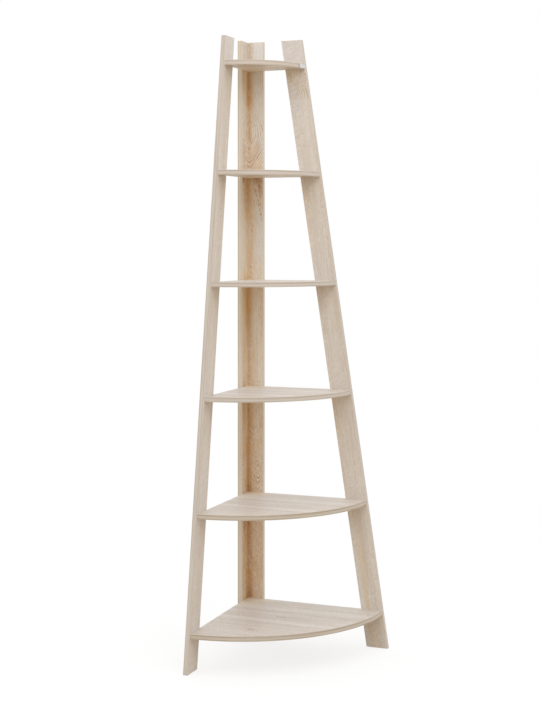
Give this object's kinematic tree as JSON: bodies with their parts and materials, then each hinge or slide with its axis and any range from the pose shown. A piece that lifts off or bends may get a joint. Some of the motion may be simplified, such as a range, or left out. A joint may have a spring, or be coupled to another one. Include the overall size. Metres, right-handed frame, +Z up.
{
  "type": "tower shelving unit",
  "caption": "Tall corner shelving unit: quarter-round shelves, smaller towards the top, between two leaning side boards and an L-shaped corner post.",
  "frame": {"origin": "centre of the bounding box's base, on the floor", "axes": "+Z up; the left wall is the plane on the -X side, the back wall the plane on the +Y side, and the unit's round fronts face +X and -Y"},
  "size_m": [0.507, 0.507, 2],
  "materials": {
    "board": "light oak melamine on chipboard, fine sawn grain, satin",
    "edging": "light oak edging strip with fine lengthwise lines, satin",
    "screw_steel": "zinc plated, satin",
    "dowel_wood": "plain beech, matt",
    "pale_plastic": "matt"
  },
  "bodies": {
    "root": {"shelf_1": "board", "shelf_2": "board", "shelf_3": "board", "shelf_4": "board", "shelf_5": "board", "shelf_6": "board", "left_side_board": "board", "right_side_board": "board", "left_post_board": "board", "right_post_board": "board", "shelf_1_front_edging": "edging", "shelf_2_front_edging": "edging", "shelf_3_front_edging": "edging", "shelf_4_front_edging": "edging", "shelf_5_front_edging": "edging", "shelf_6_front_edging": "edging", "left_side_edging": "edging", "right_side_edging": "edging", "left_post_edging": "edging", "right_post_edging": "edging", "left_side_screws": "screw_steel", "right_side_screws": "screw_steel", "left_post_screws": "screw_steel", "right_post_screws": "screw_steel", "post_joint_screws": "screw_steel", "left_side_dowels": "dowel_wood", "right_side_dowels": "dowel_wood", "top_shelf_edge_plate": "pale_plastic"}
  },
  "joints": []
}
